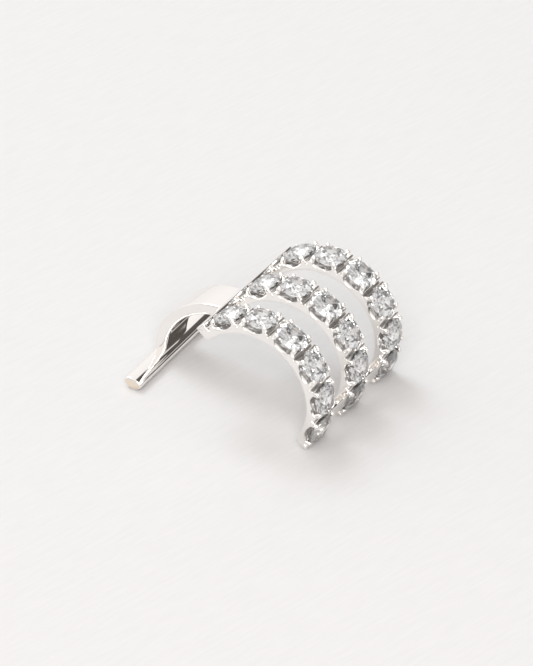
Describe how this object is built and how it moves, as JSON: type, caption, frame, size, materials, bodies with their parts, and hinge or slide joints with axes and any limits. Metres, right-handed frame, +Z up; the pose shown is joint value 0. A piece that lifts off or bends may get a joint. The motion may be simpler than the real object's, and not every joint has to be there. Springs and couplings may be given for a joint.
{
  "type": "ear cuff",
  "caption": "Open cuff for the ear's edge: parallel stone-set half hoops joined by bars, with a plain curved band behind that ends in a straight resting bar.",
  "frame": {"origin": "centre of the bounding box in X and Y, on the table that the cuff lies on", "axes": "+X runs from the plain band to the stone-set tips, +Y from the front hoop to the back hoop, +Z up as it lies"},
  "size_m": [0.0178, 0.0138, 0.0098],
  "materials": {
    "metal": "polished rhodium-plated white gold",
    "stone": "clear faceted brilliant"
  },
  "bodies": {
    "root": {"metal_frame": "metal", "front_row_stone_1": "stone", "front_row_stone_2": "stone", "front_row_stone_3": "stone", "front_row_stone_4": "stone", "front_row_stone_5": "stone", "front_row_stone_6": "stone", "middle_row_stone_1": "stone", "middle_row_stone_2": "stone", "middle_row_stone_3": "stone", "middle_row_stone_4": "stone", "middle_row_stone_5": "stone", "middle_row_stone_6": "stone", "back_row_stone_1": "stone", "back_row_stone_2": "stone", "back_row_stone_3": "stone", "back_row_stone_4": "stone", "back_row_stone_5": "stone", "back_row_stone_6": "stone"}
  },
  "joints": []
}
